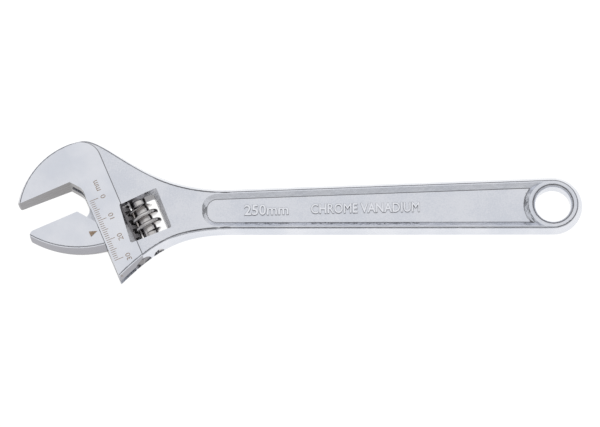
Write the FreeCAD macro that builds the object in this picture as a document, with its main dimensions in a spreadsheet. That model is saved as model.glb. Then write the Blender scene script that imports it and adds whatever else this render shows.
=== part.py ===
import FreeCAD, Part
import math
import os
import types
from FreeCAD import Placement, Rotation, Vector

# An adjustable wrench of the 250 mm size, lying flat with its scale side up.
# Millimetres. The origin is the centre of the hang hole, on the tool's mid-plane.
# +X runs along the handle away from the jaws, +Y across it towards the back of the
# fixed jaw, and +Z out of the scale side. The jaws are built in the head's own frame:
# u runs along the jaw faces towards the handle, v from the movable jaw to the fixed one,
# and their zero is the throat corner, where the fixed face meets the plate's front edge.

DIMENSIONS = [
    # handle, ring and panel
    ("throat_distance", 213.5, "hang hole to throat corner, along the handle"),
    ("throat_rise", 15.1, "throat corner above the handle's centre line"),
    ("head_angle", 22.0, "jaw faces to handle, degrees"),
    ("ring_radius", 13.2, "outside of the ring, at the parting line"),
    ("hang_hole_diameter", 16.0, "hole for a hook"),
    ("hang_hole_rounding", 1.9, "rounding of the hole's two mouths"),
    ("handle_half_thickness", 4.2, "mid-plane to the rim of the handle"),
    ("handle_taper", 1.05, "each side narrows towards the head, degrees"),
    ("straight_to_throat", 68.5, "end of the handle's straight sides to the throat corner"),
    ("handle_flank_slope", 0.52, "flank lean per mm of height, handle"),
    ("head_flank_slope", 0.25, "flank lean per mm of height, head"),
    ("parting_land", 0.9, "flat band left by trimming the forging"),
    ("rim_rounding", 0.9, "rounding of the head's upper and lower rims"),
    ("handle_rim_rounding", 1.2, "rounding of the neck's and the handle's rims"),
    ("panel_depth", 1.7, "sunk panel below the rim"),
    ("panel_margin", 2.9, "handle's side to the panel, at the rim"),
    ("panel_wall_run", 2.2, "run of the panel's sloping wall"),
    ("panel_to_throat", 55.7, "panel's round end to the throat corner"),
    ("panel_end_radius", 6.6, "corners of the panel's round end"),
    ("panel_floor_rounding", 0.8, "panel's wall into its floor"),
    ("boss_radius", 11.0, "flat round the hang hole, at the rim"),
    # neck and fixed jaw
    ("plate_half_thickness", 7.5, "mid-plane to the ground plate"),
    ("plate_width", 13.2, "plate's front edge to its step"),
    ("plate_corner_radius", 9.2, "upper corner of the plate's step"),
    ("plate_corner_height", 7.0, "where that corner starts, above the fixed face"),
    ("plate_top_lean", 0.5, "rise of the step past its corner, per mm along the faces"),
    ("neck_start_u", 2.0, "where the neck's blank starts, under the plate"),
    ("step_height", 0.7, "plate above the neck beside it"),
    ("slope_start_to_throat", 26.5, "where the neck starts to thin, to the throat corner"),
    ("slope_end_to_throat", 63.5, "where the neck meets the handle, to the throat corner"),
    ("neck_upper_head_pull", 12.0, "stiffness of the upper neck curve at the head"),
    ("neck_upper_handle_pull", 38.0, "stiffness of the upper neck curve at the handle"),
    ("neck_lower_head_pull", 24.0, "stiffness of the lower neck curve at the head"),
    ("neck_lower_handle_pull", 21.0, "stiffness of the lower neck curve at the handle"),
    ("back_radius", 36.0, "back of the fixed jaw"),
    ("back_centre_u", 1.26, "centre of that arc, along the faces"),
    ("back_centre_depth", 17.6, "centre of that arc, below the fixed face"),
    ("back_end_u", 8.0, "where that arc hands over to the neck"),
    ("foot_depth", 51.3, "fixed face to the head's foot, at the front edge"),
    ("foot_angle", 22.8, "head's lower flank to the jaw faces, degrees"),
    ("throat_corner_u", 4.1, "end of the fixed face, before the front edge"),
    ("throat_slope", 52.5, "throat wall to the jaw faces, degrees"),
    ("throat_radius", 5.0, "throat wall into the front edge"),
    ("jaw_thinning", 2.2, "fixed jaw's tip thinner than the plate, each side"),
    ("jaw_taper_length", 29.0, "length over which the jaws thin"),
    ("tip_rounding", 1.4, "corner of the fixed jaw's tip"),
    # window and bores in the head
    ("window_left_u", 13.0, "window's side towards the jaws"),
    ("window_right_u", 28.8, "window's side towards the handle"),
    ("window_top", 19.1, "window's top, below the fixed face"),
    ("window_bottom", 37.0, "window's bottom, below the fixed face"),
    ("window_relief_depth", 3.4, "depth of the sloping relief below the plate"),
    ("window_relief_right", 2.8, "relief on the side towards the handle"),
    ("window_relief_top", 2.0, "relief at the top, on the handle side"),
    ("window_relief_left", 2.6, "relief on the jaw side, at the bottom"),
    ("window_relief_left_top", 0.5, "relief on the jaw side, at the top"),
    ("window_relief_bottom", 0.4, "relief at the bottom"),
    ("window_corner_radius", 0.8, "corners of the window and its relief"),
    ("rail_axis_u", 12.5, "rail's axis behind the front edge"),
    ("rail_diameter", 8.4, "rail"),
    ("rail_clearance", 0.15, "rail to its bore, on the radius"),
    ("rail_bore_top", 6.5, "blind end of the bore, above the fixed face"),
    ("web_thickness", 4.4, "web between the jaw and its rail"),
    ("web_clearance", 0.2, "web to its slot, each side"),
    ("web_slot_start_u", -0.9, "top of the slot's mouth in the throat"),
    ("web_slot_lean", 0.35, "slot's upper edge leans back, per mm of height"),
    ("web_slot_mouth", 0.5, "top of the slot's mouth, below the fixed face"),
    # movable jaw
    ("jaw_gap", 14.0, "opening at rest, as the scale reads"),
    ("closed_gap", 0.05, "light left between the closed faces"),
    ("movable_half_thickness", 7.0, "mid-plane to the movable jaw's cheek"),
    ("movable_thinning", 1.8, "movable jaw's tip thinner than its cheek, each side"),
    ("movable_tip_u", 29.3, "movable jaw's tip, before the front edge"),
    ("movable_tip_rounding", 2.4, "corner of the movable jaw's tip"),
    ("movable_corner_u", 6.1, "end of the movable face, before the front edge"),
    ("movable_chamfer_slope", 53.5, "rear chamfer to the jaw faces, degrees"),
    ("movable_rear_gap", 0.25, "movable jaw's rear to the front edge"),
    ("belly_radius", 45.1, "belly of the movable jaw, at the parting line"),
    ("belly_centre_u", 6.0, "centre of that arc, behind the front edge"),
    ("belly_centre_height", 24.1, "centre of that arc, above the movable face"),
    ("web_front_clearance", 0.3, "web's front edge to the slot's, jaws closed"),
    ("web_shoulder_drop", 0.6, "web's front edge ends below the movable face"),
    ("web_shoulder_u", 3.7, "web's shoulder on the rear chamfer, before the front edge"),
    ("web_shoulder_pull", 1.2, "roundness of that shoulder"),
    ("web_heel_inset", 1.1, "web's lower edge, inside the belly's heel"),
    ("web_foot_rise", 1.0, "web's lower end above the rail's"),
    ("rail_top_rise", 4.5, "rail's upper end above the movable face"),
    ("rail_length", 36.0, "rail"),
    ("rail_chamfer", 0.8, "ends of the rail"),
    # knurl, pin and spring
    ("knurl_axis_u", 20.9, "knurl's axis behind the front edge"),
    ("thread_lead", 4.4, "travel per turn of the knurl"),
    ("thread_crest_radius", 6.95, "knurl over its thread"),
    ("thread_crest_width", 1.8, "thread at its crest"),
    ("thread_root_width", 2.6, "thread where it meets the hub"),
    ("thread_end_bevel", 3.1, "bevel at each end of the thread"),
    ("thread_length", 14.6, "threaded part of the knurl"),
    ("hub_radius", 3.7, "plain hub of the knurl"),
    ("knurl_end_play", 0.1, "knurl to the window, each end"),
    ("mesh_clearance", 0.25, "thread to rack tooth, each side"),
    ("rack_root_clearance", 0.33, "thread's crest to the rack's floor"),
    ("thread_crest_rounding", 0.6, "height of the thread's rounded crest"),
    ("pin_diameter", 4.0, "pin through the knurl"),
    ("pin_fit", 0.08, "pin to the knurl's bore, on the radius"),
    ("pin_seat_clearance", 0.05, "pin to its seats in the head, on the radius"),
    ("pin_blind_depth", 4.6, "pin's seat above the window"),
    ("pin_head_diameter", 5.2, "slotted head"),
    ("pin_head_length", 4.4, "slotted head"),
    ("pin_shoulder", 2.0, "wall between the window and the head's seat"),
    ("pin_chamfer", 0.5, "pin's inner end"),
    ("pin_slot_width", 0.9, "screwdriver slot"),
    ("pin_slot_depth", 1.2, "screwdriver slot"),
    ("spring_wire", 0.6, "wire"),
    ("spring_diameter", 5.6, "outside of the coils"),
    ("spring_length", 3.8, "as fitted"),
    ("spring_turns", 3.0, "coils"),
    ("spring_pocket_diameter", 6.0, "pocket in the knurl's lower end"),
]

BEYOND = 60.0       # how far a cutter runs past the metal
OVERRUN = 5.0       # short run of a blank past an edge that is cut later
BITE = 1.0          # how deep a blank or a cutter reaches past the face it must clear
SINK = 0.3          # how deep the thread's root runs into its hub
TOUCH = 0.01        # tolerance when edges and faces are picked by place
LEVEL = 0.95        # least upright part of a level face's normal
LEANING = (0.1, 0.8)    # upright part of a leaning flank's normal


doc = FreeCAD.newDocument("AdjustableWrench")
sheet = doc.addObject("Spreadsheet::Sheet", "Dimensions")
for line, (alias, value, meaning) in enumerate(DIMENSIONS, start=1):
    sheet.set(f"A{line}", meaning)
    sheet.set(f"B{line}", str(value))
    sheet.setAlias(f"B{line}", alias)
doc.recompute()
d = types.SimpleNamespace(**{alias: float(sheet.get(alias)) for alias, _, _ in DIMENSIONS})

HEAD = Placement(Vector(-d.throat_distance, d.throat_rise, 0), Rotation(Vector(0, 0, 1), d.head_angle))
UPWARD = Rotation(Vector(1, 0, 0), -90)     # turns an axis along Z to one along +v


def bind(item, **formulas):
    """Bind properties of a document object to cells; the formulas name the sheet's aliases."""
    for name, formula in formulas.items():
        item.setExpression(name, formula)
    return item


def head_point(u, v, w=0.0):
    return HEAD.multVec(Vector(u, v, w))


def head_direction(u, v):
    return HEAD.Rotation.multVec(Vector(u, v, 0))


def at_head(u, v, w=0.0, turn=Rotation()):
    return HEAD.multiply(Placement(Vector(u, v, w), turn))


def moved(shape, placement):
    """The shape carried by a placement, on top of the one that it has."""
    carried = shape.copy()
    carried.Placement = placement.multiply(shape.Placement)
    return carried


def feature(name, shape, placement=Placement()):
    item = doc.addObject("Part::Feature", name)
    item.Shape = shape
    item.Placement = placement.multiply(shape.Placement)
    return item


def combine(kind, name, **parts):
    item = doc.addObject(kind, name)
    for role, part in parts.items():
        setattr(item, role, part)
    return item


def turned(vector, degrees):
    return Rotation(Vector(0, 0, 1), degrees).multVec(vector)


def arc_through(centre, radius, start, end):
    """Arc about a vertical axis from one angle to another, in degrees, either way round."""
    ends = [centre + turned(Vector(radius, 0, 0), angle) for angle in (start, (start + end) / 2, end)]
    return Part.Arc(*ends).toShape()


def bezier(start, start_way, start_pull, end, end_way, end_pull):
    curve = Part.BezierCurve()
    curve.setPoles([start, start + start_way * start_pull, end - end_way * end_pull, end])
    return curve.toShape()


def segment(start, end):
    return Part.LineSegment(start, end).toShape()


def prism(points, low, high):
    """Upright prism on a polygon of plan points."""
    wire = Part.makePolygon([Vector(x, y, low) for x, y in points + points[:1]])
    return Part.Face(wire).extrude(Vector(0, 0, high - low))


def symmetric_prism(upper, low, high):
    """Prism along Y on a side view that is the same above and below the mid-plane."""
    first, last = upper[0].valueAt(upper[0].FirstParameter), upper[-1].valueAt(upper[-1].LastParameter)
    lower = [edge.mirror(Vector(0, 0, 0), Vector(0, 0, 1)) for edge in upper]
    ends = [segment(point, Vector(point.x, 0, -point.z)) for point in (first, last)]
    solid = Part.Face(Part.Wire(Part.sortEdges(upper + lower + ends)[0])).extrude(Vector(0, high - low, 0))
    solid.translate(Vector(0, low, 0))
    return solid


def drafted(outline, height):
    """Solid whose flanks lean in from a narrow land at mid-height; outline(h) gives the edges."""
    land = d.parting_land / 2
    wires = []
    for level in (-height, -land, land, height):
        wire = Part.Wire(outline(abs(level) - land))
        wire.translate(Vector(0, 0, level))
        wires.append(wire)
    return Part.makeLoft(wires, True, True)


def rim_edges(shape):
    """Edges where a leaning flank meets an upper or lower face."""
    picked = []
    for edge in shape.Edges:
        slopes = []
        for face in shape.ancestorsOfType(edge, Part.Face):
            middle = edge.valueAt((edge.FirstParameter + edge.LastParameter) / 2)
            across, along = face.Surface.parameter(middle)
            slopes.append(abs(face.normalAt(across, along).z))
        if len(slopes) == 2 and max(slopes) > LEVEL and LEANING[0] < min(slopes) < LEANING[1]:
            picked.append(edge)
    return picked


# ---------------------------------------------------------------- the forging's outline

# The next four are reckoned from the hang hole.
HANDLE_STRAIGHT = d.throat_distance - d.straight_to_throat
PANEL_REACH = d.throat_distance - d.panel_to_throat
SLOPE_START = d.throat_distance - d.slope_start_to_throat
SLOPE_END = d.throat_distance - d.slope_end_to_throat
NECK_HALF_THICKNESS = d.plate_half_thickness - d.step_height
JAW_TIP_HALF_THICKNESS = d.plate_half_thickness - d.jaw_thinning
MOVABLE_TIP_HALF_THICKNESS = d.movable_half_thickness - d.movable_thinning
HANDLE_NORMAL = turned(Vector(0, 1, 0), d.handle_taper)     # of the handle's upper side
FOOT_WAY = head_direction(math.cos(math.radians(d.foot_angle)), math.sin(math.radians(d.foot_angle)))
BACK_CENTRE = head_point(d.back_centre_u, -d.back_centre_depth)


def handle_side(distance, inset, sign):
    """Point on the handle's upper (+1) or lower (-1) side, a distance from the hang hole."""
    slope = math.radians(d.handle_taper)
    half = (d.ring_radius - inset - distance * math.sin(slope)) / math.cos(slope)
    return Vector(-distance, sign * half, 0)


def forging_outline(rise):
    """Closed outline of the forging, a rise above the parting land; it runs on past the jaws."""
    head_inset = rise * d.head_flank_slope
    handle_inset = rise * d.handle_flank_slope
    radius = d.back_radius - head_inset
    tip_angle = math.degrees(math.asin((d.back_centre_depth - OVERRUN) / d.back_radius))
    back_start = d.head_angle + 180 - tip_angle
    back_end = d.head_angle + math.degrees(math.acos((d.back_end_u - d.back_centre_u) / d.back_radius))
    back = arc_through(BACK_CENTRE, radius, back_start, back_end)
    neck_start = BACK_CENTRE + turned(Vector(radius, 0, 0), back_end)
    upper_way = turned(Vector(1, 0, 0), d.handle_taper)
    upper_end = handle_side(HANDLE_STRAIGHT, handle_inset, 1)
    upper_neck = bezier(neck_start, turned(Vector(1, 0, 0), back_end - 90), d.neck_upper_head_pull,
                        upper_end, upper_way, d.neck_upper_handle_pull)
    ring_radius = d.ring_radius - handle_inset
    ring_top = HANDLE_NORMAL * ring_radius
    ring_bottom = Vector(ring_top.x, -ring_top.y, 0)
    ring = arc_through(Vector(0, 0, 0), ring_radius, 90 + d.handle_taper, -90 - d.handle_taper)
    lower_end = handle_side(HANDLE_STRAIGHT, handle_inset, -1)
    foot = head_point(0, -d.foot_depth) + turned(FOOT_WAY, 90) * head_inset
    lower_way = Vector(upper_way.x, -upper_way.y, 0)
    lower_neck = bezier(lower_end, lower_way * -1, d.neck_lower_handle_pull,
                        foot, FOOT_WAY * -1, d.neck_lower_head_pull)
    past_foot = foot - FOOT_WAY * OVERRUN
    return [back, upper_neck, segment(upper_end, ring_top), ring, segment(ring_bottom, lower_end),
            lower_neck, segment(foot, past_foot),
            segment(past_foot, BACK_CENTRE + turned(Vector(radius, 0, 0), back_start))]


def neck_profile():
    """Upper half of the forging's side view: level head, smooth slope, level handle."""
    head_end = Vector(-SLOPE_START, 0, NECK_HALF_THICKNESS)
    handle_end = Vector(-SLOPE_END, 0, d.handle_half_thickness)
    level = Vector(1, 0, 0)
    pull = (SLOPE_START - SLOPE_END) / 2
    return [segment(head_end - level * BEYOND, head_end),
            bezier(head_end, level, pull, handle_end, level, pull),
            segment(handle_end, Vector(BEYOND, 0, d.handle_half_thickness))]


def jaw_profile(tip_u, full_half, tip_half, end_u):
    """Upper half of a jaw's side view: thin at the tip, full from the throat on."""
    full_u = tip_u + d.jaw_taper_length
    lean = (full_half - tip_half) / d.jaw_taper_length
    return [segment(Vector(tip_u - OVERRUN, 0, tip_half - OVERRUN * lean), Vector(full_u, 0, full_half)),
            segment(Vector(full_u, 0, full_half), Vector(end_u, 0, full_half))]


# ---------------------------------------------------------------- body: one forging, bored and cut

def neck_and_handle():
    blank = drafted(forging_outline, d.plate_half_thickness + BITE)
    blank = blank.common(symmetric_prism(neck_profile(), -BEYOND, BEYOND))
    blank = blank.makeFillet(d.handle_rim_rounding, rim_edges(blank))
    start = d.neck_start_u
    behind_front = prism([(start, -2 * BEYOND), (3 * BEYOND, -2 * BEYOND), (3 * BEYOND, BEYOND),
                          (start, BEYOND)], -BEYOND, BEYOND)
    handle_side_room = Part.makeBox(SLOPE_START + BEYOND, 2 * BEYOND, 2 * BEYOND,
                                    Vector(-SLOPE_START, -BEYOND, -BEYOND))
    return blank.common(moved(behind_front, HEAD).fuse(handle_side_room))


def ground_plate():
    """Fixed jaw and plate, standing proud of the neck, with a rounded upper corner."""
    profile = jaw_profile(-d.jaw_taper_length, d.plate_half_thickness, JAW_TIP_HALF_THICKNESS, BEYOND)
    thickness = symmetric_prism(profile, -BEYOND, BEYOND)
    blank = drafted(forging_outline, d.plate_half_thickness + BITE).common(moved(thickness, HEAD))
    head_rims = [edge for edge in rim_edges(blank) if edge.BoundBox.XMax < -HANDLE_STRAIGHT]
    blank = blank.makeFillet(d.rim_rounding, head_rims)
    corner = Vector(d.plate_width - d.plate_corner_radius, d.plate_corner_height, -BEYOND)
    top = corner + Vector(0, d.plate_corner_radius, 0)
    far_top = top + Vector(-1, d.plate_top_lean, 0) * (BEYOND / 2)
    right = corner + Vector(d.plate_corner_radius, 0, 0)
    right_foot = Vector(right.x, -2 * BEYOND, -BEYOND)
    left_foot = Vector(far_top.x - 2 * BEYOND, -2 * BEYOND, -BEYOND)
    left_top = Vector(left_foot.x, far_top.y, -BEYOND)
    outline = Part.Wire([arc_through(corner, d.plate_corner_radius, 0, 90), segment(top, far_top),
                         segment(far_top, left_top), segment(left_top, left_foot),
                         segment(left_foot, right_foot), segment(right_foot, right)])
    plan = Part.Face(outline).extrude(Vector(0, 0, 2 * BEYOND))
    return blank.common(moved(plan, HEAD))


def tip_path(face_v, material, rounding, back_centre, back_radius):
    """Rounding that joins a jaw's face to its curved back, and a way out past the metal."""
    centre = Vector(0, face_v + material * rounding, 0)
    rise = centre.y - back_centre.y
    centre.x = back_centre.x - math.sqrt((back_radius - rounding) ** 2 - rise ** 2)
    outward = (centre - back_centre).normalize()
    on_face = Vector(centre.x, face_v, 0)
    on_back = centre + outward * rounding
    middle = centre + (outward + (on_face - centre).normalize()).normalize() * rounding
    return on_face, [Part.Arc(on_face, middle, on_back).toShape(),
                     segment(on_back, on_back + outward * BEYOND)]


def upright(edges):
    """Prism through the whole thickness on a closed plan outline."""
    solid = Part.Face(Part.Wire(edges)).extrude(Vector(0, 0, 2 * BEYOND))
    solid.translate(Vector(0, 0, -BEYOND))
    return solid


def jaw_opening():
    """What is cut away in front of the plate: tip, fixed face, throat wall and front edge."""
    slope = math.tan(math.radians(d.throat_slope))
    low_corner = Vector(0, -d.throat_corner_u * slope, 0)
    root = Vector(-d.throat_corner_u, 0, 0)
    tangent = d.throat_radius * math.tan(math.radians(90 - d.throat_slope) / 2)
    onto_wall = low_corner + (root - low_corner).normalize() * tangent
    onto_edge = low_corner - Vector(0, tangent, 0)
    bulge = Vector(-d.throat_radius, onto_edge.y, 0)
    arc = arc_through(bulge, d.throat_radius, 0, 90 - d.throat_slope)
    back_centre = Vector(d.back_centre_u, -d.back_centre_depth, 0)
    tip, tip_edges = tip_path(0, 1, d.tip_rounding, back_centre, d.back_radius)
    way_out = tip_edges[-1].valueAt(tip_edges[-1].LastParameter)
    low_left, low_right = Vector(way_out.x, -2 * BEYOND, 0), Vector(0, -2 * BEYOND, 0)
    return upright([arc, segment(onto_edge, low_right), segment(low_right, low_left),
                    segment(low_left, way_out)] + tip_edges[::-1]
                   + [segment(tip, root), segment(root, onto_wall)])


def panel_outline(inset, height):
    """Outline of the sunk panel: straight sides, round end at the neck, hollow end at the boss."""
    margin = d.panel_margin + inset
    boss = d.boss_radius + inset
    end_radius = d.panel_end_radius - inset
    lift = Vector(0, 0, height)
    end_x = -PANEL_REACH + inset

    def meets_boss(sign):
        along = math.sqrt(boss ** 2 - (d.ring_radius - margin) ** 2)
        point = HANDLE_NORMAL * (d.ring_radius - margin) + turned(Vector(-along, 0, 0), d.handle_taper)
        return Vector(point.x, sign * point.y, 0)

    def corner(sign):
        """Tangent points and middle of the rounding between the side and the end."""
        sharp = handle_side(-end_x, margin, sign)
        tangent = end_radius / math.tan(math.radians(90 + d.handle_taper) / 2)
        on_side = sharp + Vector(tangent * math.cos(math.radians(d.handle_taper)),
                                 sign * tangent * math.sin(math.radians(d.handle_taper)), 0)
        on_end = sharp - Vector(0, sign * tangent, 0)
        centre = Vector(end_x + end_radius, on_end.y, 0)
        middle = centre + (sharp - centre).normalize() * end_radius
        return on_side, middle, on_end

    top, bottom = meets_boss(1), meets_boss(-1)
    top_side, top_middle, top_end = corner(1)
    low_side, low_middle, low_end = corner(-1)
    edges = [Part.Arc(bottom, Vector(-boss, 0, 0), top).toShape(), segment(top, top_side),
             Part.Arc(top_side, top_middle, top_end).toShape(), segment(top_end, low_end),
             Part.Arc(low_end, low_middle, low_side).toShape(), segment(low_side, bottom)]
    wire = Part.Wire(edges)
    wire.translate(lift)
    return wire


def panel_cutter(side):
    """Everything above the panel: sloping walls from its floor to the rim, then straight up."""
    rim = panel_outline(0, d.handle_half_thickness * side)
    floor = panel_outline(d.panel_wall_run, (d.handle_half_thickness - d.panel_depth) * side)
    return Part.makeLoft([floor, rim], True, True).fuse(Part.Face(rim).extrude(Vector(0, 0, BEYOND * side)))


def window_relief(side):
    """Sloping relief round the window: widest towards the handle, running out elsewhere."""
    left, right, top, bottom = d.window_left_u, d.window_right_u, -d.window_top, -d.window_bottom
    deep = d.plate_half_thickness - d.window_relief_depth
    grow = (d.window_relief_depth + BITE) / d.window_relief_depth
    low = bottom - d.window_relief_bottom * grow
    far_right = right + d.window_relief_right * grow
    corner = d.window_relief_left_top * grow
    small = [(left, bottom), (right, bottom), (right, top), (left, top)]
    large = [(left - d.window_relief_left * grow, low), (far_right, low),
             (far_right, top + d.window_relief_top * grow), (left - corner, top + corner)]
    wires = []
    for points, level in ((small, deep), (large, d.plate_half_thickness + BITE)):
        wires.append(Part.makePolygon([Vector(u, v, level * side) for u, v in points + points[:1]]))
    funnel = Part.makeLoft(wires, True, True)
    creases = [edge for edge in funnel.Edges if abs(edge.valueAt(0).z - edge.valueAt(edge.Length).z) > TOUCH]
    return funnel.makeFillet(d.window_corner_radius, creases)


def cylinder_at_head(name, u, v, diameter, length, clearance="0"):
    """Cylinder along +v, its foot at (u, v)."""
    item = doc.addObject("Part::Cylinder", name)
    bind(item, Radius=f"({diameter}) / 2 + {clearance}", Height=length)
    item.Placement = at_head(u, v, 0, UPWARD)
    return item


def web_slot():
    """Slot for the movable jaw's web, from the foot up into the throat."""
    lean = d.web_slot_lean
    top = d.rail_bore_top - BITE
    mouth_v = -d.web_slot_mouth
    start_u = d.web_slot_start_u
    points = [(d.rail_axis_u, -2 * BEYOND), (d.rail_axis_u, top), (start_u + (top - mouth_v) * lean, top),
              (start_u, mouth_v), (-BEYOND, mouth_v), (-BEYOND, -2 * BEYOND)]
    half = d.web_thickness / 2 + d.web_clearance
    return prism(points, -half, half)


forging = feature("Forging", neck_and_handle().fuse(ground_plate()).removeSplitter())
opening = feature("JawOpening", jaw_opening(), HEAD)

hang_hole = doc.addObject("Part::Cylinder", "HangHole")
bind(hang_hole, Radius="Dimensions.hang_hole_diameter / 2")
hang_hole.Height = 2 * BEYOND
hang_hole.Placement.Base.z = -BEYOND

panels = [feature("PanelAbove", panel_cutter(1)), feature("PanelBelow", panel_cutter(-1))]

window = doc.addObject("Part::Box", "Window")
bind(window, Length="Dimensions.window_right_u - Dimensions.window_left_u",
     Width="Dimensions.window_bottom - Dimensions.window_top")
window.Height = 2 * BEYOND
window.Placement = at_head(d.window_left_u, -d.window_bottom, -BEYOND)
doc.recompute()
window_corners = doc.addObject("Part::Fillet", "WindowCorners")
window_corners.Base = window
window_corners.Edges = [(number, d.window_corner_radius, d.window_corner_radius)
                        for number, edge in enumerate(window.Shape.Edges, 1)
                        if edge.BoundBox.ZLength > BEYOND]
reliefs = [feature("ReliefAbove", window_relief(1), HEAD), feature("ReliefBelow", window_relief(-1), HEAD)]

rail_bore = cylinder_at_head("RailBore", d.rail_axis_u, d.rail_bore_top - 2 * BEYOND,
                             "Dimensions.rail_diameter", str(2 * BEYOND), "Dimensions.rail_clearance")
slot = feature("WebSlot", web_slot(), HEAD)
pin_seat_top = -d.window_top + d.pin_blind_depth
pin_bore = cylinder_at_head("PinBore", d.knurl_axis_u, pin_seat_top - 2 * BEYOND, "Dimensions.pin_diameter",
                            str(2 * BEYOND), "Dimensions.pin_seat_clearance")
head_seat_v = -d.window_bottom - d.pin_shoulder
pin_head_bore = cylinder_at_head("PinHeadBore", d.knurl_axis_u, head_seat_v - BEYOND,
                                 "Dimensions.pin_head_diameter", str(BEYOND),
                                 "Dimensions.pin_seat_clearance")

cutters = combine("Part::MultiFuse", "ForgingCutters",
                  Shapes=[opening, hang_hole, window_corners, rail_bore, slot, pin_bore, pin_head_bore]
                  + panels + reliefs)
machined = combine("Part::Cut", "Machined", Base=forging, Tool=cutters)
doc.recompute()


def near(edge, kind, radius, z):
    """Is this edge an arc or circle of that radius at that height?"""
    curve = edge.Curve
    return isinstance(curve, kind) and abs(curve.Radius - radius) < TOUCH and abs(curve.Center.z - z) < TOUCH


def outlines_panel(edge, level):
    """Does this edge run round a sunk panel at that height above or below the mid-plane?"""
    box = edge.BoundBox
    return (abs(abs(box.ZMin) - level) < TOUCH and box.ZLength < TOUCH and box.XMin > -PANEL_REACH - TOUCH
            and box.XMax < -d.hang_hole_diameter / 2 and abs(box.YMin) < d.ring_radius - d.panel_margin)


def finish_forging(shape):
    """Round the mouths of the hang hole and the feet of the panels' walls."""
    mouths = [edge for edge in shape.Edges for side in (1, -1)
              if near(edge, Part.Circle, d.hang_hole_diameter / 2, side * d.handle_half_thickness)]
    shape = shape.makeFillet(d.hang_hole_rounding, mouths)
    floor_level = d.handle_half_thickness - d.panel_depth
    return shape.makeFillet(d.panel_floor_rounding,
                            [edge for edge in shape.Edges if outlines_panel(edge, floor_level)])


body = feature("body", finish_forging(machined.Shape))

# ---------------------------------------------------------------- movable jaw with its web and rail


FACE_V = -d.jaw_gap - d.closed_gap      # the movable face
REAR_U = -d.movable_rear_gap
RAIL_TOP = FACE_V + d.rail_top_rise
BELLY_CENTRE = Vector(d.belly_centre_u, FACE_V + d.belly_centre_height, 0)


def on_belly(u, radius=d.belly_radius):
    return Vector(u, BELLY_CENTRE.y - math.sqrt(radius ** 2 - (u - BELLY_CENTRE.x) ** 2), 0)


def belly_outline(rise):
    """Outline of the movable jaw's cheek; only the belly leans."""
    radius = d.belly_radius - rise * d.head_flank_slope
    tip_u = BELLY_CENTRE.x - math.sqrt(radius ** 2 - d.belly_centre_height ** 2)
    tip, corner = Vector(tip_u, FACE_V, 0), Vector(-d.movable_corner_u, FACE_V, 0)
    drop = (REAR_U + d.movable_corner_u) * math.tan(math.radians(d.movable_chamfer_slope))
    chamfer_end = Vector(REAR_U, FACE_V - drop, 0)
    heel = on_belly(REAR_U, radius)
    belly = Part.Arc(heel, on_belly((tip_u + REAR_U) / 2, radius), tip).toShape()
    return [segment(tip, corner), segment(corner, chamfer_end), segment(chamfer_end, heel), belly]


def jaw_cheek():
    """Movable jaw's block: leaning belly, thin tip."""
    profile = jaw_profile(-d.movable_tip_u, d.movable_half_thickness, MOVABLE_TIP_HALF_THICKNESS, BEYOND)
    blank = drafted(belly_outline, d.movable_half_thickness + BITE)
    blank = blank.common(symmetric_prism(profile, -2 * BEYOND, BEYOND))
    blank = blank.makeFillet(d.rim_rounding, rim_edges(blank))
    tip, tip_edges = tip_path(FACE_V, -1, d.movable_tip_rounding, BELLY_CENTRE, d.belly_radius)
    way_out = tip_edges[-1].valueAt(tip_edges[-1].LastParameter)
    above = Vector(way_out.x, BEYOND, 0)
    over_tip = Vector(tip.x, BEYOND, 0)
    return blank.cut(upright(tip_edges + [segment(way_out, above), segment(above, over_tip),
                                          segment(over_tip, tip)]))


def jaw_web():
    """Web from the cheek's rear to the rail; its front edge lies along the slot's."""
    chamfer = math.radians(d.movable_chamfer_slope)
    lean = Vector(-d.web_slot_lean, -1, 0)
    mouth = Vector(d.web_slot_start_u + d.web_front_clearance, -d.jaw_gap - d.web_slot_mouth, 0)
    front_top = mouth + lean * (mouth.y - RAIL_TOP)
    shoulder_top = mouth + lean * (mouth.y - FACE_V + d.web_shoulder_drop)
    shoulder_drop = (d.movable_corner_u - d.web_shoulder_u) * math.tan(chamfer)
    shoulder_end = Vector(-d.web_shoulder_u, FACE_V - shoulder_drop, 0)
    into_chamfer = Vector(-math.sin(chamfer), -math.cos(chamfer), 0)
    shoulder = bezier(shoulder_top, lean, d.web_shoulder_pull, shoulder_end, into_chamfer,
                      d.web_shoulder_pull)
    heel = on_belly(REAR_U) + Vector(-d.web_heel_inset, d.web_heel_inset, 0)
    rail_foot = Vector(d.rail_axis_u, RAIL_TOP - d.rail_length + d.web_foot_rise, 0)
    rail_head = Vector(d.rail_axis_u, RAIL_TOP, 0)
    outline = [segment(front_top, shoulder_top), shoulder, segment(shoulder_end, heel),
               segment(heel, rail_foot), segment(rail_foot, rail_head), segment(rail_head, front_top)]
    web = Part.Face(Part.Wire(outline)).extrude(Vector(0, 0, d.web_thickness))
    web.translate(Vector(0, 0, -d.web_thickness / 2))
    return web


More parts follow.
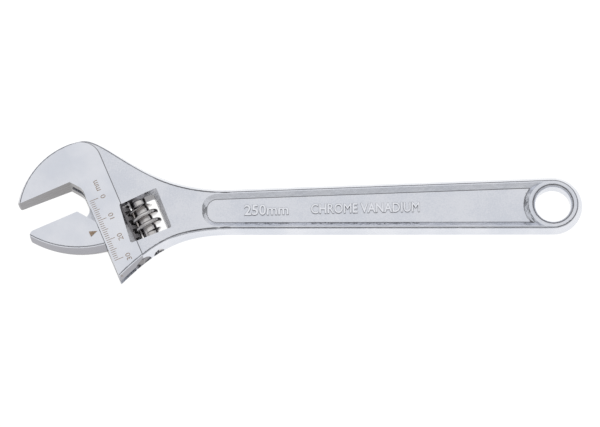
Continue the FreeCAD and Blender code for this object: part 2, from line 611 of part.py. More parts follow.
def rack_grooves():
    """Slanted grooves that the knurl's thread runs in, one for each turn along the rail."""
    rail_crest_u = d.rail_axis_u + d.rail_diameter / 2
    bottom_u = d.knurl_axis_u - d.thread_crest_radius - d.rack_root_clearance
    mouth_u = rail_crest_u + BITE
    slant = d.thread_lead / (2 * math.pi * (d.knurl_axis_u - (bottom_u + rail_crest_u) / 2))
    flank = (d.thread_root_width - d.thread_crest_width) / (d.thread_crest_radius - d.hub_radius)
    bottom_half = d.thread_crest_width / 2 + d.mesh_clearance
    mouth_half = bottom_half + (mouth_u - bottom_u) * flank / 2
    half_way = d.rail_diameter
    middle = -(d.window_top + d.window_bottom) / 2
    first = math.floor((RAIL_TOP - d.rail_length - middle) / d.thread_lead)
    last = math.ceil((RAIL_TOP - middle) / d.thread_lead)
    grooves = []
    for turn in range(first, last + 1):
        v = middle + turn * d.thread_lead
        corners = [(bottom_u, v - bottom_half), (mouth_u, v - mouth_half), (mouth_u, v + mouth_half),
                   (bottom_u, v + bottom_half)]
        wire = Part.makePolygon([Vector(u, w - slant * half_way, -half_way)
                                 for u, w in corners + corners[:1]])
        grooves.append(Part.Face(wire).extrude(Vector(0, 2 * slant * half_way, 2 * half_way)))
    return grooves[0].multiFuse(grooves[1:])


rail = cylinder_at_head("Rail", d.rail_axis_u, RAIL_TOP - d.rail_length, "Dimensions.rail_diameter",
                        "Dimensions.rail_length")
rail_ends = doc.addObject("Part::Chamfer", "RailEnds")
rail_ends.Base = rail
doc.recompute()
rail_ends.Edges = [(number, d.rail_chamfer, d.rail_chamfer)
                   for number, edge in enumerate(rail.Shape.Edges, 1)
                   if isinstance(edge.Curve, Part.Circle)]
cheek = feature("Cheek", jaw_cheek(), HEAD)
web = feature("Web", jaw_web(), HEAD)
jaw_blank = combine("Part::MultiFuse", "JawBlank", Shapes=[cheek, web, rail_ends])
grooves = feature("RackGrooves", rack_grooves(), HEAD)
hub_way = cylinder_at_head("HubWay", d.knurl_axis_u, RAIL_TOP - d.rail_length - BITE,
                           "2 * Dimensions.hub_radius", f"Dimensions.rail_length + {2 * BITE}",
                           "Dimensions.mesh_clearance")
rack_cutters = combine("Part::MultiFuse", "RackCutters", Shapes=[grooves, hub_way])
movable_jaw = combine("Part::Cut", "movable_jaw", Base=jaw_blank, Tool=rack_cutters)
doc.recompute()

# ---------------------------------------------------------------- knurl, pin and spring

# The knurl's own frame: Z along its axis towards the fixed jaw, X towards the rail.
KNURL = at_head(d.knurl_axis_u, -(d.window_top + d.window_bottom) / 2, 0,
                Rotation(Vector(-1, 0, 0), Vector(0, 0, 1), Vector(0, 1, 0), "ZXY"))


def new_body(name, placement):
    item = doc.addObject("PartDesign::Body", name)
    item.Placement = placement
    return item


def new_sketch(item, name, role):
    sketch = item.newObject("Sketcher::SketchObject", name)
    plane = next(part for part in item.Origin.OriginFeatures if part.Role == role)
    sketch.AttachmentSupport = [(plane, "")]
    sketch.MapMode = "FlatFace"
    return sketch


def closed_sketch(sketch, points):
    corners = [Vector(x, y, 0) for x, y in points]
    for start, end in zip(corners, corners[1:] + corners[:1]):
        sketch.addGeometry(Part.LineSegment(start, end), False)


def revolved(item, name, points, kind="PartDesign::Revolution"):
    """Turn a half profile, given as (radius, height), about the body's Z axis."""
    sketch = new_sketch(item, name + "Profile", "XZ_Plane")
    closed_sketch(sketch, points)
    turn = item.newObject(kind, name)
    turn.Profile = sketch
    turn.ReferenceAxis = (sketch, ["V_Axis"])
    turn.Angle = 360
    return turn


half_window = (d.window_bottom - d.window_top) / 2
half_knurl = half_window - d.knurl_end_play


def turned_solid(profile):
    """Solid turned about Z from a half profile of (radius, height)."""
    wire = Part.makePolygon([Vector(radius, 0, height) for radius, height in profile + profile[:1]])
    return Part.Face(wire).revolve(Vector(0, 0, 0), Vector(0, 0, 1), 360)


def knurl_thread():
    """Right-hand thread with a rounded crest; one crest faces the rail at mid-height."""
    turns = math.ceil(half_knurl / d.thread_lead) * 2
    foot = -turns * d.thread_lead / 2
    root = d.hub_radius - SINK
    shoulder = d.thread_crest_radius - d.thread_crest_rounding
    inner, outer = d.thread_root_width / 2, d.thread_crest_width / 2
    low_root, high_root = Vector(root, 0, foot - inner), Vector(root, 0, foot + inner)
    low_shoulder, high_shoulder = Vector(shoulder, 0, foot - outer), Vector(shoulder, 0, foot + outer)
    crest = Part.Arc(low_shoulder, Vector(d.thread_crest_radius, 0, foot), high_shoulder).toShape()
    section = Part.Wire([segment(high_root, low_root), segment(low_root, low_shoulder), crest,
                         segment(high_shoulder, high_root)])
    helix = Part.makeHelix(d.thread_lead, turns * d.thread_lead, (root + d.thread_crest_radius) / 2)
    helix.translate(Vector(0, 0, foot))
    return Part.Wire(helix.Edges).makePipeShell([section], True, True)


def thread_envelope():
    """What the bevelled ends of the thread leave of it."""
    inner, half = d.hub_radius - 2 * SINK, d.thread_length / 2
    outer = d.thread_crest_radius + BITE / 2
    return turned_solid([(0, -half), (inner, -half), (outer, d.thread_end_bevel - half),
                         (outer, half - d.thread_end_bevel), (inner, half), (0, half)])


def knurl_cylinder(name, low, high, radius):
    """Cylinder on the knurl's axis; its radius is a formula on the sheet's cells."""
    item = doc.addObject("Part::Cylinder", name)
    bind(item, Radius=radius)
    item.Height = high - low
    item.Placement = KNURL.multiply(Placement(Vector(0, 0, low), Rotation()))
    return item


thread = combine("Part::MultiCommon", "Thread", Shapes=[feature("ThreadSweep", knurl_thread(), KNURL),
                                                        feature("ThreadEnvelope", thread_envelope(), KNURL)])
hub = knurl_cylinder("Hub", -half_knurl, half_knurl, "Dimensions.hub_radius")
knurl_bores = combine("Part::MultiFuse", "KnurlBores", Shapes=[
    knurl_cylinder("KnurlBore", -half_knurl - BITE, half_knurl + BITE,
                   "Dimensions.pin_diameter / 2 + Dimensions.pin_fit"),
    knurl_cylinder("SpringPocket", -half_knurl - BITE, d.spring_length + d.knurl_end_play - half_window,
                   "Dimensions.spring_pocket_diameter / 2")])
knurl_blank = combine("Part::MultiFuse", "KnurlBlank", Shapes=[hub, thread])
knurl = combine("Part::Cut", "adjusting_knurl", Base=knurl_blank, Tool=knurl_bores)
doc.recompute()

pin = new_body("knurl_pin", KNURL)
seat = -half_window - d.pin_shoulder
tip = half_window + d.pin_blind_depth
shank = d.pin_diameter / 2
revolved(pin, "Turned", [(0, seat - d.pin_head_length), (d.pin_head_diameter / 2, seat - d.pin_head_length),
                         (d.pin_head_diameter / 2, seat), (shank, seat), (shank, tip - d.pin_chamfer),
                         (shank - d.pin_chamfer, tip), (0, tip)])
doc.recompute()
slot_sketch = new_sketch(pin, "SlotProfile", "XZ_Plane")
slot_low, slot_high = seat - d.pin_head_length - BITE, seat - d.pin_head_length + d.pin_slot_depth
closed_sketch(slot_sketch, [(-d.pin_slot_width / 2, slot_low), (d.pin_slot_width / 2, slot_low),
                            (d.pin_slot_width / 2, slot_high), (-d.pin_slot_width / 2, slot_high)])
driver_slot = pin.newObject("PartDesign::Pocket", "DriverSlot")
driver_slot.Profile = slot_sketch
driver_slot.Midplane = True
bind(driver_slot, Length="Dimensions.pin_head_diameter * 2")
doc.recompute()

spring_pitch = (d.spring_length - d.spring_wire) / d.spring_turns
coil_radius = (d.spring_diameter - d.spring_wire) / 2
helix = Part.makeHelix(spring_pitch, d.spring_turns * spring_pitch, coil_radius)
along_wire = Vector(0, 2 * math.pi * coil_radius, spring_pitch)
section = Part.Wire(Part.makeCircle(d.spring_wire / 2, Vector(coil_radius, 0, 0), along_wire))
spring_shape = Part.Wire(helix.Edges).makePipeShell([section], True, True)
spring_shape.translate(Vector(0, 0, -half_window + d.spring_wire / 2))
spring = feature("knurl_spring", spring_shape, KNURL)
doc.recompute()

# ---------------------------------------------------------------- check and write

PIECES = [body, movable_jaw, knurl, pin, spring]
for item in doc.Objects:
    if "Invalid" in item.State or "Error" in item.State:
        raise RuntimeError(f"{item.Label} failed: {item.State}")
os.makedirs("parts", exist_ok=True)
for piece in PIECES:
    if piece.Shape.isNull() or not piece.Shape.isValid() or len(piece.Shape.Solids) != 1:
        raise RuntimeError(f"{piece.Label} is not one valid solid: {len(piece.Shape.Solids)}")
    piece.Shape.exportStep(f"parts/{piece.Label}.step")
    box = piece.Shape.BoundBox
    print(f"{piece.Label}: {piece.Shape.Volume:.0f} mm3, {len(piece.Shape.Faces)} faces, "
          f"x {box.XMin:.1f} to {box.XMax:.1f}, y {box.YMin:.1f} to {box.YMax:.1f}")
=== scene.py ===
import bpy
import math
from mathutils import Matrix, Vector


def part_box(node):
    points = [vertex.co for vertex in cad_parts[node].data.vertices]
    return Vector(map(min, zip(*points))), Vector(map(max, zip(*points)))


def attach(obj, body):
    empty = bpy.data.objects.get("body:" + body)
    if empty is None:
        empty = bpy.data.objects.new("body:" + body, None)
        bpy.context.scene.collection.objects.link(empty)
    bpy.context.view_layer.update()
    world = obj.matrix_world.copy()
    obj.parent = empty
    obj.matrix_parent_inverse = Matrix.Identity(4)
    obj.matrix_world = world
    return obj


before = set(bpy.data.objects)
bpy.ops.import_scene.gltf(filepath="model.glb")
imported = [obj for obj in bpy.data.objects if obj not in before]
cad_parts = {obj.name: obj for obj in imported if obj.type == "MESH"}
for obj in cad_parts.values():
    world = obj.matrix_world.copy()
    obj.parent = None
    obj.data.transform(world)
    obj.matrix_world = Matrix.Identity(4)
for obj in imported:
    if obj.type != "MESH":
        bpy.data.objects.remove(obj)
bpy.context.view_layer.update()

# An adjustable wrench in satin chrome. Metres, in the frame of the CAD model: the origin is
# the centre of the hang hole, +X runs along the handle away from the jaws and +Z out of the
# scale side. The head's own frame has u along the jaw faces towards the handle and v across
# the opening, from the throat corner of the fixed jaw.

MM = 0.001
HEAD_ANGLE = math.radians(22)
HEAD = Matrix.Translation((-213.5 * MM, 15.1 * MM, 0)) @ Matrix.Rotation(HEAD_ANGLE, 4, "Z")
BODY_LOW, BODY_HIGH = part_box("body")
PLATE_TOP = BODY_HIGH.z
CHEEK_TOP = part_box("movable_jaw")[1].z
PANEL_FLOOR = 2.5 * MM

# The step down from the ground plate to the neck is a wall across u with a round upper corner.
STEP_WALL_U = 13.2 * MM
STEP_CORNER_V = 7.0 * MM
STEP_CORNER_RADIUS = 9.2 * MM

# The worm's window, and the sloping relief round its mouth, which lies a little to one side.
WINDOW_U = 22.2 * MM
WINDOW_V = -28.0 * MM
RELIEF_U = 22 * MM
RELIEF_REACH = 11 * MM


# ---------------------------------------------------------------- shader expressions

class Signal:
    """A node's output, which takes part in sums."""

    def __init__(self, graph, socket):
        self.graph = graph
        self.socket = socket

    def maths(self, operation, *others):
        values = dict(enumerate([self, *others]))
        return self.graph.node("ShaderNodeMath", {"operation": operation}, values)

    def __add__(self, other):
        return self.maths("ADD", other)

    def __mul__(self, other):
        return self.maths("MULTIPLY", other)

    def __sub__(self, other):
        return self.maths("SUBTRACT", other)

    def __rsub__(self, other):
        return (self * -1) + other

    def __abs__(self):
        return self.maths("ABSOLUTE")

    __radd__ = __add__
    __rmul__ = __mul__

    def ramp(self, low, high):
        """0 below one value and 1 above the other, smooth between."""
        return self.graph.node("ShaderNodeMapRange", {"interpolation_type": "SMOOTHSTEP"},
                               {"Value": self, "From Min": low, "From Max": high})


class Graph:
    """A tree of nodes, of which each new one gives a signal."""

    def __init__(self, tree):
        self.tree = tree

    def node(self, kind, settings=None, inputs=None, output=0):
        node = self.tree.nodes.new(kind)
        for name, value in (settings or {}).items():
            setattr(node, name, value)
        for name, value in (inputs or {}).items():
            if isinstance(value, Signal):
                self.tree.links.new(value.socket, node.inputs[name])
            else:
                node.inputs[name].default_value = value
        return Signal(self, node.outputs[output])


class Finish(Graph):
    """A material with one Principled shader, filled in by expressions."""

    def __init__(self, name, colour, **constants):
        self.material = bpy.data.materials.new(name)
        self.material.use_nodes = True
        self.material.diffuse_color = (*colour, 1)
        super().__init__(self.material.node_tree)
        self.shader = self.tree.nodes["Principled BSDF"]
        self.shader.inputs["Base Color"].default_value = (*colour, 1)
        for socket, value in constants.items():
            self.shader.inputs[socket.replace("_", " ").title()].default_value = value

    def feed(self, socket, signal):
        self.tree.links.new(signal.socket, self.shader.inputs[socket])

    def place(self):
        return self.node("ShaderNodeTexCoord", output="Object")

    def facing(self):
        return self.node("ShaderNodeTexCoord", output="Normal")

    def part(self, vector, axis):
        return self.node("ShaderNodeSeparateXYZ", inputs={0: vector}, output=axis)

    def mixed(self, mask, first, second):
        """Colour going from the first to the second with the mask.

        Sockets go by number, because the node repeats their names for each kind of data.
        """
        return self.node("ShaderNodeMix", {"data_type": "RGBA"}, {0: mask, 6: first, 7: second}, output=2)

    def noise(self, place, scale, detail=2.0, roughness=0.5):
        return self.node("ShaderNodeTexNoise", inputs={
            "Vector": place, "Scale": scale, "Detail": detail, "Roughness": roughness})

    def bump(self, height, distance, strength=1.0, under=None):
        inputs = {"Height": height, "Distance": distance, "Strength": strength}
        if under:
            inputs["Normal"] = under
        return self.node("ShaderNodeBump", inputs=inputs)


# ---------------------------------------------------------------- finishes

HAZY_CHROME = (0.67, 0.69, 0.745, 1)
CLEAR_CHROME = (0.76, 0.77, 0.81, 1)
# Painted highlight: the sloping relief round the window's mouth is given brighter metal.
RELIEF_PAINTED_HIGHLIGHT = (0.93, 0.93, 0.95, 1)
# Painted shade: steep faces ahead of the step are given darker metal, standing in for their dark
# reflections.
FLANK_PAINTED_SHADE = (0.30, 0.295, 0.32, 1)
# Painted shade on the jaw faces, darker towards the throat.
JAW_FACE_PAINTED_SHADE = (0.13, 0.12, 0.12, 1)
SHADOW_LINE = (0.10, 0.095, 0.10, 1)
# Painted shade: darker steel inside the worm's window, and on the jaw's rail and rack inside the head,
# which are bare steel as well.
BARE_STEEL_AND_SHADE = (0.16, 0.15, 0.155, 1)
# Painted light on the raised letters: lighter tops, painted shade on their sides.
LETTER_SIDE_PAINTED_SHADE = (0.24, 0.235, 0.25, 1)
LETTER_TOP_PAINTED_LIGHT = (0.80, 0.81, 0.85, 1)
WORM_DARK = (0.48, 0.46, 0.455, 1)
WORM_BRIGHT = (0.64, 0.62, 0.61, 1)
DEEP_BROWN = (0.30, 0.20, 0.13, 1)
PALE_BROWN = (0.48, 0.36, 0.26, 1)


def near(place, middle, reach, fade):
    """1 within that reach of the middle, going to 0 over the fade."""
    return 1 - abs(place - middle).ramp(reach, reach + fade)


def inside_window(u, v, z):
    """Where the window's walls lie, below its sloping relief."""
    across = near(u, WINDOW_U, 9.6 * MM, 0.6 * MM)
    along = near(v, WINDOW_V, 9.8 * MM, 0.6 * MM)
    return across * along * near(z, 0.0, 3.4 * MM, 1.0 * MM)


def behind_front_edge(u, v, z):
    """Where the movable jaw's rail and rack run inside the head, whatever their v and z."""
    return u.ramp(0.2 * MM, 0.9 * MM)


def in_head(x, y):
    """A place's u and v in the head's own frame."""
    from_head_x = x - HEAD.translation.x
    from_head_y = y - HEAD.translation.y
    cosine = math.cos(HEAD_ANGLE)
    sine = math.sin(HEAD_ANGLE)
    return from_head_x * cosine + from_head_y * sine, from_head_y * cosine - from_head_x * sine


def beyond_step(u, v):
    """Distance from the plate's edge: negative on the plate, positive on the neck."""
    past_u = (u - (STEP_WALL_U - STEP_CORNER_RADIUS)).maths("MAXIMUM", 0.0)
    past_v = (v - STEP_CORNER_V).maths("MAXIMUM", 0.0)
    return (past_u * past_u + past_v * past_v).maths("SQRT") - STEP_CORNER_RADIUS


def forged_chrome(name, recess_shade):
    """Satin chrome: ground ahead of the step, blasted on level faces behind it, polished on rims.

    Its colour carries painted light: painted shade on the steep faces and jaw faces, shade lines along the
    rims and in the crease at the foot of the step, a painted highlight on the sloping relief, and darker
    steel where a mask from a place in the head's frame says so, which is painted shade inside the window
    and on the jaw's rail and rack, bare steel there too.
    """
    finish = Finish(name, (0.70, 0.72, 0.77), metallic=1.0, roughness=0.3)
    place = finish.place()
    x, y, z = (finish.part(place, axis) for axis in range(3))
    rise = abs(finish.part(finish.facing(), 2))
    level = rise.ramp(0.93, 0.985)
    u, v = in_head(x, y)
    past_step = beyond_step(u, v)
    behind_step = past_step.ramp(-0.05 * MM, 0.05 * MM)
    blasted = level * behind_step
    ground = level * (1 - behind_step)
    # Steep faces ahead of the step, which get painted shade below.
    steep_shaded = (1 - rise.ramp(0.25, 0.5)) * (1 - behind_step)
    sloping = rise.ramp(0.35, 0.5) * (1 - rise.ramp(0.75, 0.9)) * u.ramp(8 * MM, 10 * MM)
    relief = (sloping * near(u, RELIEF_U, RELIEF_REACH, 1.0 * MM)
              * near(v, WINDOW_V, RELIEF_REACH, 1.0 * MM))
    wobble = finish.noise(place, 700, 3.0, 0.6) - 0.5
    wavy = rise + wobble * 0.08
    rim_line = wavy.ramp(0.80, 0.86) * (1 - wavy.ramp(0.945, 0.975)) * (1 - relief) * (0.85 + wobble)
    crevice = level * near(past_step, 0.12 * MM, 0.08 * MM, 0.24 * MM)
    dark = recess_shade(u, v, z)
    grain = finish.noise(place, 1500, 3.0, 0.7)
    turned = finish.node("ShaderNodeMapping", inputs={
        "Vector": place, "Rotation": (0, 0, -HEAD_ANGLE), "Scale": (9000, 260, 260)})
    lines = finish.noise(turned, 1.0, 2.0, 0.5)
    patches = finish.noise(place, 60, 3.0, 0.55)
    ripple = finish.noise(place, 420, 2.0, 0.5)
    finish.feed("Roughness", 0.15 + blasted * 0.26 + ground * 0.19 + relief * 0.4 + dark * 0.15
                + (patches - 0.5) * 0.06)
    clean = finish.mixed((patches + (grain - 0.5) * blasted).ramp(0.3, 0.72),
                         HAZY_CHROME, CLEAR_CHROME)
    # Painted shade on the near-vertical jaw faces ahead of the step, darker towards the throat.
    faces = steep_shaded * (1 - rise.ramp(0.05, 0.2)) * (0.66 + u.ramp(-30 * MM, 0.0) * 0.24)
    # Painted shade on the steep faces ahead of the step.
    flanks = finish.mixed(steep_shaded * 0.85, clean, FLANK_PAINTED_SHADE)
    face_shaded = finish.mixed(faces, flanks, JAW_FACE_PAINTED_SHADE)
    # Painted highlight on the sloping relief round the window.
    bright = finish.mixed(relief * 0.7, face_shaded, RELIEF_PAINTED_HIGHLIGHT)
    lined = finish.mixed(crevice * 0.85 + rim_line * 0.9, bright, SHADOW_LINE)
    # Painted shade inside the window and the head's slot, with bare steel on the jaw's rail too.
    finish.feed("Base Color", finish.mixed(dark * 0.85, lined, BARE_STEEL_AND_SHADE))
    waves = finish.bump(ripple, 0.35 * MM, 0.3)
    grains = finish.bump(grain * (blasted + relief), 0.05 * MM, 0.6, waves)
    finish.feed("Normal", finish.bump(lines * ground, 0.006 * MM, 0.5, grains))
    return finish.material


def raised_chrome(name):
    """Forged letters: their tops painted lighter and their sides given painted shade, by the way each face
    points.
    """
    finish = Finish(name, (0.75, 0.77, 0.81), metallic=1.0, roughness=0.3)
    place = finish.place()
    top = abs(finish.part(finish.facing(), 2)).ramp(0.75, 0.95)
    grain = finish.noise(place, 1500, 3.0, 0.7)
    finish.feed("Roughness", 0.24 + grain * 0.12)
    lit_top = (top + (grain - 0.5) * 0.3).maths("MAXIMUM", 0.0)
    finish.feed("Base Color", finish.mixed(lit_top, LETTER_SIDE_PAINTED_SHADE, LETTER_TOP_PAINTED_LIGHT))
    return finish.material


def turned_steel(name):
    """Dark bright steel of the worm and its pin."""
    finish = Finish(name, (0.58, 0.56, 0.55), metallic=1.0, roughness=0.25)
    place = finish.place()
    scratches = finish.noise(place, 600, 3.0, 0.5)
    finish.feed("Roughness", 0.08 + scratches * 0.16)
    clouds = finish.noise(place, 220).ramp(0.35, 0.7)
    finish.feed("Base Color", finish.mixed(clouds, WORM_DARK, WORM_BRIGHT))
    finish.feed("Normal", finish.bump(scratches, 0.02 * MM, 0.25))
    return finish.material


def spring_wire(name):
    """Drawn wire, dull grey."""
    finish = Finish(name, (0.42, 0.42, 0.43), metallic=1.0, roughness=0.35)
    place = finish.place()
    finish.feed("Roughness", 0.28 + finish.noise(place, 2500) * 0.2)
    return finish.material


def etched_brown(name):
    """Oxide left by a laser: matt brown, a little patchy."""
    finish = Finish(name, (0.36, 0.25, 0.17), roughness=0.75, metallic=0.2)
    patchy = finish.noise(finish.place(), 2600, 3.0, 0.6)
    finish.feed("Base Color", finish.mixed(patchy.ramp(0.35, 0.65), DEEP_BROWN, PALE_BROWN))
    return finish.material


CHROME = forged_chrome("forged_chrome", inside_window)
JAW_CHROME = forged_chrome("jaw_chrome", behind_front_edge)
LETTER_CHROME = raised_chrome("raised_chrome")
STEEL = turned_steel("turned_steel")
WIRE = spring_wire("spring_wire")
BROWN = etched_brown("etched_brown")


def refinish(node, material):
    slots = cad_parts[node].data.materials
    slots.clear()
    slots.append(material)


for node, material in (("body", CHROME), ("movable_jaw", JAW_CHROME), ("adjusting_knurl", STEEL),
                       ("knurl_pin", STEEL), ("knurl_spring", WIRE)):
    refinish(node, material)


# ---------------------------------------------------------------- marks

MARK_HEIGHT = 0.01 * MM

# The sizes below are in millimetres, and a place on the head is its u and v.

SCALE_LENGTH = 30                       # the opening that the scale covers
SCALE_START = (0.8, -12.2)              # front end of its zero line
LINE_WIDTH = 0.26
LINE_LENGTHS = {"Minor": 2.0, "Fifth": 2.9, "Tenth": 4.1}
FIGURES = ((0, -12.3, 1.6), (10, -22.2, 2.8), (20, -32.8, 3.3), (30, -42.8, 3.3))   # number, v, width
FIGURE_U = 7.2
FIGURE_HEIGHT = 2.3
UNIT_PLACE = (6.6, -6.5)
UNIT_WIDTH = 5.0
UNIT_HEIGHT = 1.9
POINTER = ((-4.8, -27.5), (-1.1, -26.2), (-4.8, -24.9))
DOT_PLACE = (1.1, -50.1)
DOT_RADIUS = 0.3
WORDS = (("raised_size", "250mm", -139.0, -119.0, 5.2),                 # name, words, ends in x, height
         ("raised_material", "CHROME VANADIUM", -109.0, -60.0, 4.8))
WORDS_Y = 0.1
LETTER_RELIEF = 0.5
LETTER_BEVEL = 0.14
LETTER_SINK = 0.02


def finished(name, mesh, matrix, material, body):
    """Object made of the mesh in its place, which goes with that body."""
    mesh.transform(matrix)
    mesh.materials.clear()
    mesh.materials.append(material)
    item = bpy.data.objects.new(name, mesh)
    bpy.context.scene.collection.objects.link(item)
    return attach(item, body)


def plain_mesh(source):
    """What a text or a modified object comes to, as a mesh of its own; the source goes."""
    bpy.context.view_layer.update()
    evaluated = source.evaluated_get(bpy.context.evaluated_depsgraph_get())
    mesh = bpy.data.meshes.new_from_object(evaluated)
    bpy.data.objects.remove(source)
    return mesh


def ruled_lines():
    """Node group that lays out the scale: a row of lines, every fifth longer, every tenth longest."""
    tree = bpy.data.node_groups.new("ruled_lines", "GeometryNodeTree")
    graph = Graph(tree)
    sizes = (("Count", "NodeSocketInt"), ("Pitch", "NodeSocketFloat"), ("Width", "NodeSocketFloat"),
             ("Height", "NodeSocketFloat"), ("Minor", "NodeSocketFloat"), ("Fifth", "NodeSocketFloat"),
             ("Tenth", "NodeSocketFloat"), ("Material", "NodeSocketMaterial"))
    for name, kind in sizes:
        tree.interface.new_socket(name, in_out="INPUT", socket_type=kind)
    tree.interface.new_socket("Geometry", in_out="OUTPUT", socket_type="NodeSocketGeometry")
    entry = tree.nodes.new("NodeGroupInput")
    size = {name: Signal(graph, entry.outputs[name]) for name, _ in sizes}
    step = graph.node("ShaderNodeCombineXYZ", inputs={"Y": size["Pitch"] * -1})
    row = graph.node("GeometryNodeMeshLine", inputs={"Count": size["Count"], "Offset": step})
    block = graph.node("ShaderNodeCombineXYZ", inputs={"X": 1.0, "Y": size["Width"], "Z": size["Height"]})
    line = graph.node("GeometryNodeMeshCube", inputs={"Size": block})
    shift = graph.node("ShaderNodeCombineXYZ", inputs={"X": 0.5, "Z": size["Height"] * 0.5})
    line = graph.node("GeometryNodeTransform", inputs={"Geometry": line, "Translation": shift})
    index = graph.node("GeometryNodeInputIndex")
    fifth = index.maths("MODULO", 5.0).maths("LESS_THAN", 0.5)
    tenth = index.maths("MODULO", 10.0).maths("LESS_THAN", 0.5)
    length = (size["Minor"] + fifth * (size["Fifth"] - size["Minor"])
              + tenth * (size["Tenth"] - size["Fifth"]))
    stretch = graph.node("ShaderNodeCombineXYZ", inputs={"X": length, "Y": 1.0, "Z": 1.0})
    lines = graph.node("GeometryNodeInstanceOnPoints",
                       inputs={"Points": row, "Instance": line, "Scale": stretch})
    solid = graph.node("GeometryNodeRealizeInstances", inputs={"Geometry": lines})
    coated = graph.node("GeometryNodeSetMaterial", inputs={"Geometry": solid, "Material": size["Material"]})
    leave = tree.nodes.new("NodeGroupOutput")
    tree.links.new(coated.socket, leave.inputs[0])
    return tree


def scale_lines():
    """The scale's lines along the plate's front edge, as one plain mesh."""
    tree = ruled_lines()
    source = bpy.data.objects.new("scale_source", bpy.data.meshes.new("scale_source"))
    bpy.context.scene.collection.objects.link(source)
    modifier = source.modifiers.new("lines", "NODES")
    modifier.node_group = tree
    values = {"Count": SCALE_LENGTH + 1, "Pitch": MM, "Width": LINE_WIDTH * MM, "Height": MARK_HEIGHT,
              "Material": BROWN}
    values.update({name: length * MM for name, length in LINE_LENGTHS.items()})
    for socket in tree.interface.items_tree:
        if socket.name in values:
            modifier[socket.identifier] = values[socket.name]
    finished("scale_lines", plain_mesh(source), on_head(*SCALE_START, PLATE_TOP), BROWN, "forging")


def on_head(u, v, level, turn=0):
    """Matrix of a place on the head, turned anticlockwise from its u by that many degrees."""
    return (HEAD @ Matrix.Translation((u * MM, v * MM, level))
            @ Matrix.Rotation(math.radians(turn), 4, "Z"))


def lettering(words, width, height, thickness, bevel=0.0):
    """Mesh of the words, that wide and high, centred on the origin and standing on it."""
    data = bpy.data.curves.new("words", "FONT")
    data.body = words
    data.size = height
    data.resolution_u = 3
    data.extrude = (thickness - bevel) / 2
    data.bevel_depth = bevel
    data.bevel_resolution = 1
    source = bpy.data.objects.new("words", data)
    bpy.context.scene.collection.objects.link(source)
    mesh = plain_mesh(source)
    corners = [vertex.co for vertex in mesh.vertices]
    low = Vector([min(co[axis] for co in corners) for axis in range(3)])
    high = Vector([max(co[axis] for co in corners) for axis in range(3)])
    across = high - low
    fit = Matrix.Diagonal((width / across.x, height / across.y, thickness / across.z, 1))
    middle = (low + high) / 2
    mesh.transform(fit @ Matrix.Translation((-middle.x, -middle.y, -low.z)))
    return mesh


def scale_figures():
    """Numbers beside the long lines, and the unit above the zero."""
    for value, v, width in FIGURES:
        mesh = lettering(str(value), width * MM, FIGURE_HEIGHT * MM, MARK_HEIGHT)
        finished(f"scale_figure_{value}", mesh, on_head(FIGURE_U, v, PLATE_TOP, 90), BROWN, "forging")
    unit = lettering("mm", UNIT_WIDTH * MM, UNIT_HEIGHT * MM, MARK_HEIGHT)
    finished("scale_unit", unit, on_head(*UNIT_PLACE, PLATE_TOP, 90), BROWN, "forging")


def flat_shape(outline):
    """Thin mesh with that outline, in millimetres of u and v."""
    count = len(outline)
    points = [(u * MM, v * MM, level) for level in (0, MARK_HEIGHT) for u, v in outline]
    faces = [tuple(range(count, 2 * count)), tuple(reversed(range(count)))]
    faces += [(i, (i + 1) % count, count + (i + 1) % count, count + i) for i in range(count)]
    mesh = bpy.data.meshes.new("flat_shape")
    mesh.from_pydata(points, [], faces)
    return mesh


def pointer_and_dot():
    """Arrowhead on the movable jaw that reads the scale, and a small dot on the plate."""
    arrow = flat_shape(POINTER)
    finished("setting_pointer", arrow, on_head(0, 0, CHEEK_TOP), BROWN, "jaw")
    angles = [math.radians(degrees) for degrees in range(0, 360, 24)]
    circle = [(math.cos(angle) * DOT_RADIUS, math.sin(angle) * DOT_RADIUS) for angle in angles]
    finished("plate_dot", flat_shape(circle), on_head(*DOT_PLACE, PLATE_TOP), BROWN, "forging")


def raised_words():
    """Forged size and a plain material name, standing on the panel's floor."""
    for name, words, start, end, height in WORDS:
        mesh = lettering(words, (end - start) * MM, height * MM, LETTER_RELIEF * MM, LETTER_BEVEL * MM)
        middle = (start + end) / 2
        place = Matrix.Translation((middle * MM, WORDS_Y * MM, PANEL_FLOOR - LETTER_SINK * MM))
        finished(name, mesh, place, LETTER_CHROME, "forging")


scale_lines()
scale_figures()
pointer_and_dot()
raised_words()


# ---------------------------------------------------------------- floor, light and camera

FLOOR_HALF = 6.0
FLOOR_GLOW = 0.98
CAMERA_AIM = Vector((-0.1139, -0.001128, 0))
CAMERA_DISTANCE = 1.4646
CAMERA_LENS = 195
CAMERA_AZIMUTH = math.radians(1)
CAMERA_ELEVATION = math.radians(73)
CAMERA_ROLL = math.radians(2.046)


def floor():
    """Pale sheet under the wrench, white enough to lose its edge."""
    mesh = bpy.data.meshes.new("floor")
    signs = ((-1, -1), (1, -1), (1, 1), (-1, 1))
    corners = [(across * FLOOR_HALF, along * FLOOR_HALF, BODY_LOW.z) for across, along in signs]
    mesh.from_pydata(corners, [], [(0, 1, 2, 3)])
    item = bpy.data.objects.new("floor", mesh)
    bpy.context.scene.collection.objects.link(item)
    finish = Finish("pale_paper", (0.1, 0.1, 0.1), roughness=0.9)
    finish.shader.inputs["Emission Color"].default_value = (1, 1, 1, 1)
    finish.shader.inputs["Emission Strength"].default_value = FLOOR_GLOW
    mesh.materials.append(finish.material)


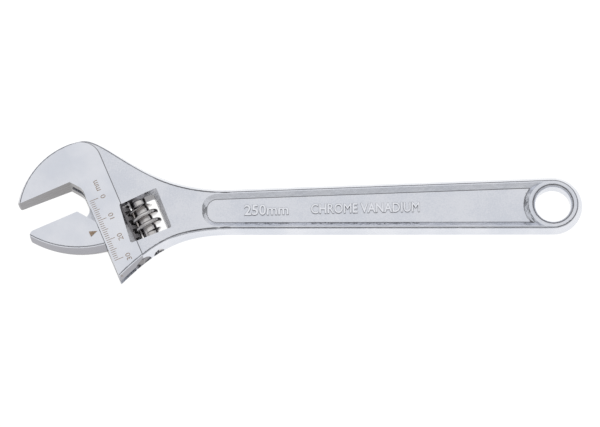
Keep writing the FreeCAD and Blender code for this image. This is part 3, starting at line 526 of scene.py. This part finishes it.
def softbox(name, place, aim, width, depth, radiance):
    """Rectangular light that faces its aim."""
    light = bpy.data.lights.new(name, "AREA")
    light.shape = "RECTANGLE"
    light.size, light.size_y = width, depth
    light.energy = radiance * math.pi * width * depth
    item = bpy.data.objects.new(name, light)
    item.location = place
    item.rotation_euler = (Vector(aim) - Vector(place)).to_track_quat("-Z", "Y").to_euler()
    bpy.context.scene.collection.objects.link(item)


def surroundings():
    """Studio that metal reflects: pale, with a dark band above the horizon; white to the camera."""
    world = bpy.data.worlds.new("studio")
    world.use_nodes = True
    bpy.context.scene.world = world
    graph = Graph(world.node_tree)
    direction = graph.node("ShaderNodeTexCoord", output="Generated")
    height = graph.node("ShaderNodeSeparateXYZ", inputs={0: direction}, output=2)
    dark_band = height.ramp(0.20, 0.25) - height.ramp(0.30, 0.36)
    dimmer_top = height.ramp(0.40, 0.60) * 0.22
    shade = 0.82 - dark_band * 0.76 - dimmer_top
    seen = graph.node("ShaderNodeLightPath", output="Is Camera Ray")
    strength = graph.node("ShaderNodeMath", {"operation": "MAXIMUM"}, {0: shade, 1: seen})
    room = world.node_tree.nodes["Background"]
    room.inputs["Color"].default_value = (0.97, 0.98, 1.0, 1)
    world.node_tree.links.new(strength.socket, room.inputs["Strength"])


def camera():
    """Long lens that looks down on the wrench from a little to the front, slightly rolled."""
    data = bpy.data.cameras.new("camera")
    data.lens = CAMERA_LENS
    data.clip_start, data.clip_end = 0.05, 20
    item = bpy.data.objects.new("camera", data)
    outward = math.cos(CAMERA_ELEVATION)
    back = Vector((math.sin(CAMERA_AZIMUTH) * outward, -math.cos(CAMERA_AZIMUTH) * outward,
                   math.sin(CAMERA_ELEVATION)))
    item.location = CAMERA_AIM + back * CAMERA_DISTANCE
    level = (-back).to_track_quat("-Z", "Y")
    item.rotation_mode = "QUATERNION"
    item.rotation_quaternion = level @ Matrix.Rotation(-CAMERA_ROLL, 3, "Z").to_quaternion()
    bpy.context.scene.collection.objects.link(item)
    bpy.context.scene.camera = item


floor()
softbox("overhead", place=(-0.1, 0.8, 2.4), aim=(-0.1, 0, 0), width=3.4, depth=2.6, radiance=0.40)
surroundings()
camera()
bpy.context.scene.view_settings.view_transform = "Standard"
